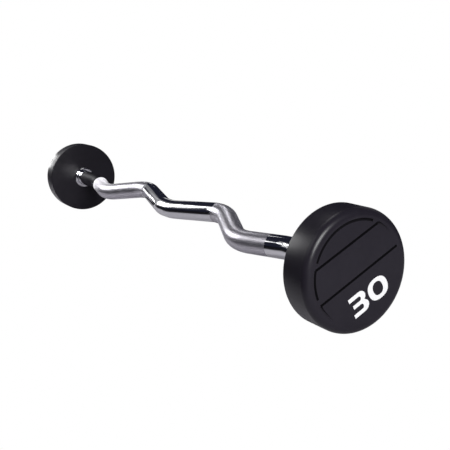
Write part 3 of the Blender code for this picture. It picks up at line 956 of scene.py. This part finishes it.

# %% [markdown]
# ## The studio
#
# Chrome has no look of its own: it shows the room. The photograph's reflections tell where things
# stood. A tilted softbox hung low to the left, a wide one stood in front, a strong light beside
# the camera shone on the near face, and the barbell lay near the front edge of a pale sheet. The
# rest of the room was dark. The camera sees the whole floor white, but the chrome sees the sheet
# end 15 cm in front of the bar, and beyond it a floor coloured dark as painted shade, where the
# studio's light fell off.

# %% Floor
SHEET_MIDDLE = (-0.05, 0.235)
SHEET_HALF = (1.35, 0.385)
SHEET_FADE = 0.05
SHEET_COLOUR = (0.57, 0.555, 0.59)
# Painted shade: off the sheet the floor's colour is made dark, standing in for the light falling off.
PAINTED_FLOOR_SHADE = (0.012, 0.012, 0.014)
WHITE = (1.0, 1.0, 1.0, 1.0)
FLOOR_HALF = 8.0


def sheet_and_shade_mask(tree, coordinates):
    """1 on the pale sheet, 0 on the painted shade round it, with a soft edge between."""
    parts = node(tree, "ShaderNodeSeparateXYZ")
    join(tree, coordinates, parts.inputs["Vector"])
    masks = []
    for axis, middle, half in zip("XY", SHEET_MIDDLE, SHEET_HALF):
        offset = node(tree, "ShaderNodeMath", "from the middle", operation="SUBTRACT")
        offset.inputs[1].default_value = middle
        away = node(tree, "ShaderNodeMath", "either way", operation="ABSOLUTE")
        edge = node(tree, "ShaderNodeMapRange", "soft edge", interpolation_type="SMOOTHSTEP")
        edge.inputs["From Min"].default_value = half + SHEET_FADE
        edge.inputs["From Max"].default_value = half - SHEET_FADE
        join(tree, parts.outputs[axis], offset.inputs[0])
        join(tree, offset.outputs["Value"], away.inputs[0])
        join(tree, away.outputs["Value"], edge.inputs["Value"])
        masks.append(edge.outputs["Result"])
    both = node(tree, "ShaderNodeMath", "both ways", operation="MULTIPLY")
    join(tree, masks[0], both.inputs[0])
    join(tree, masks[1], both.inputs[1])
    return both.outputs["Value"]


def floor_material():
    made, tree, shader, coordinates = new_material(
        "studio_floor", Roughness=1.0, Specular_IOR_Level=0.0)
    mask = sheet_and_shade_mask(tree, coordinates)
    # The base colour is pale on the sheet and painted shade round it.
    join(tree, tinted(tree, mask, PAINTED_FLOOR_SHADE, SHEET_COLOUR), shader.inputs["Base Color"])
    output = tree.nodes["Material Output"]
    path = node(tree, "ShaderNodeLightPath")
    glow = node(tree, "ShaderNodeEmission", "keeps the floor pale to the eye")
    glow.inputs["Color"].default_value = WHITE
    glow.inputs["Strength"].default_value = 1.0
    shown = node(tree, "ShaderNodeMixShader")
    join(tree, path.outputs["Is Camera Ray"], shown.inputs["Fac"])
    join(tree, shader.outputs["BSDF"], shown.inputs[1])
    join(tree, glow.outputs["Emission"], shown.inputs[2])
    join(tree, shown.outputs["Shader"], output.inputs["Surface"])
    return made


bm = bmesh.new()
bmesh.ops.create_grid(bm, x_segments=1, y_segments=1, size=FLOOR_HALF)
floor_mesh = bpy.data.meshes.new("floor")
bm.to_mesh(floor_mesh)
bm.free()
floor_mesh.materials.append(floor_material())
floor = bpy.data.objects.new("floor", floor_mesh)
bpy.context.scene.collection.objects.link(floor)
print("floor is", 2 * FLOOR_HALF, "m wide")

# %% [markdown]
# Each light is a row of a table: the point it looks at, how far round and how high it stands from
# there, its distance, width and height, how far it is turned about its own middle, and its
# brightness. Brightness, not power, is what a mirror shows, so the power is worked out from it.
# The first six light the whole barbell. The others are small, as a photographer adds them one by
# one: two panels for the bar's upper edge, a lamp over the near leg, one for the far face and one
# behind the far rim, a card close to the far bend, and a glint on the near end. A lamp with a
# honeycomb grid has a narrow beam and leaves the chrome beside its target dark.

# %% Lights
BAR_MIDDLE = (0.1, 0.0, 0.07)
NEAR_FACE = (0.476, 0.0, 0.07)
FAR_BEND = (-0.285, -0.008, 0.078)
NEAR_LEG = (0.168, 0.0, 0.09)
NEAR_END = (0.34, 0.0, 0.085)
FAR_FACE = (-0.470, 0.0, 0.07)
FAR_RIM = (-0.455, -0.060, 0.115)
LIGHTS = {
    "softbox": (BAR_MIDDLE, -65, 20, 1.2, 0.50, 0.40, 27, 6.5),
    "softbox_rim": (BAR_MIDDLE, -68, 19, 1.3, 0.90, 0.70, 27, 0.32),
    "front_softbox": (BAR_MIDDLE, -5, 38, 1.6, 1.50, 0.75, 0, 1.8),
    "overhead": (BAR_MIDDLE, -90, 74, 1.2, 0.50, 0.50, 0, 2.5),
    "beside_camera": (NEAR_FACE, 72, 27, 1.2, 0.50, 0.50, 0, 25.0),
    "back_fill": (BAR_MIDDLE, -170, 30, 1.6, 1.20, 0.60, 0, 0.3),
    "left_back": (BAR_MIDDLE, -109, 10, 1.5, 0.22, 0.20, 0, 0.8),
    "left_edge": (BAR_MIDDLE, -93, 17, 1.5, 0.26, 0.20, 0, 0.20),
    "near_leg": (NEAR_LEG, -104, 42, 0.35, 0.09, 0.08, 0, 0.12),
    "far_face": (FAR_FACE, -150, 25, 0.80, 0.30, 0.30, 0, 0.37),
    "far_rim": (FAR_RIM, -85, 2.4, 0.146, 0.06, 0.03, -55, 14.5),
    "far_bend": (FAR_BEND, -88, 12, 0.034, 0.05, 0.05, 0, 1.35),
    "near_end": (NEAR_END, -52, 24, 0.80, 0.12, 0.10, 0, 2.2),
}
BEAM_ANGLES = {"near_leg": 18, "far_face": 30}  # degrees, of the lights with a grid


def add_light(name, target, azimuth, elevation, distance, width, height, turn, brightness):
    """A rectangular area light that looks at a target; angles are in degrees."""
    data = bpy.data.lights.new(name, "AREA")
    data.shape = "RECTANGLE"
    data.size = width
    data.size_y = height
    data.energy = brightness * math.pi * width * height
    data.spread = math.radians(BEAM_ANGLES.get(name, 180))
    light = bpy.data.objects.new(name, data)
    a, e = math.radians(azimuth), math.radians(elevation)
    back = Vector((math.sin(a) * math.cos(e), -math.cos(a) * math.cos(e), math.sin(e)))
    turned = back.to_track_quat("Z", "Y").to_matrix()
    turned @= Matrix.Rotation(math.radians(turn), 3, "Z")
    light.location = Vector(target) + back * distance
    light.rotation_euler = turned.to_euler()
    light.visible_camera = False
    bpy.context.scene.collection.objects.link(light)


for name, placing in LIGHTS.items():
    add_light(name, *placing)
print(len(LIGHTS), "lights")

# %% [markdown]
# The room itself is nearly black with a trace of blue, which the chrome's darkest bands show. The
# camera sees white paper behind the barbell instead.

# %% World
ROOM_COLOUR = (0.014, 0.015, 0.026, 1.0)

world = bpy.data.worlds.new("studio_room")
world.use_nodes = True
bpy.context.scene.world = world
tree = world.node_tree
room = tree.nodes["Background"]
room.inputs["Color"].default_value = ROOM_COLOUR
paper = node(tree, "ShaderNodeBackground", "white paper behind")
paper.inputs["Color"].default_value = WHITE
path = node(tree, "ShaderNodeLightPath")
seen = node(tree, "ShaderNodeMixShader")
join(tree, path.outputs["Is Camera Ray"], seen.inputs["Fac"])
join(tree, room.outputs["Background"], seen.inputs[1])
join(tree, paper.outputs["Background"], seen.inputs[2])
join(tree, seen.outputs["Shader"], tree.nodes["World Output"].inputs["Surface"])
bpy.context.scene.view_settings.view_transform = "Standard"
print("studio ready")
